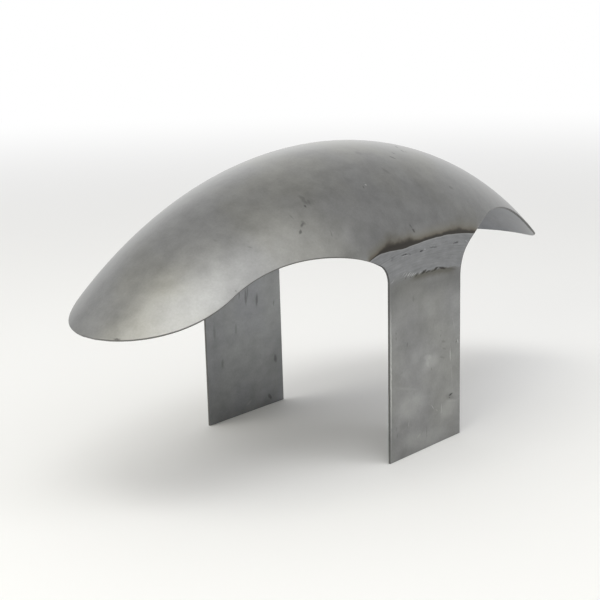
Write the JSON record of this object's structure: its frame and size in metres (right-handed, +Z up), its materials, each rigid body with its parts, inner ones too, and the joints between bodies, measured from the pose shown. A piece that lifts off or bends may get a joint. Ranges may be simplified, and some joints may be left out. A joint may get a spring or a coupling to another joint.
{
  "type": "motorcycle front fender",
  "caption": "Short ribless steel front fender for a motorcycle: a pressed crown with rounded ends, and flat undrilled mounting legs welded flush to both its sides.",
  "frame": {"origin": "on the floor that the leg ends stand on, midway between them and between the fender's tips", "axes": "+X along the fender towards its front tip, +Y across it from the right leg to the left leg, +Z up"},
  "size_m": [0.5437, 0.194, 0.2443],
  "materials": {
    "crown_sheet": "satin, raw cold rolled",
    "leg_bar": "satin, raw, fine scratches",
    "weld_metal": "ground flush, brushed"
  },
  "bodies": {
    "root": {"crown": "crown_sheet", "right_leg": "leg_bar", "left_leg": "leg_bar", "right_weld": "weld_metal", "left_weld": "weld_metal"}
  },
  "joints": []
}
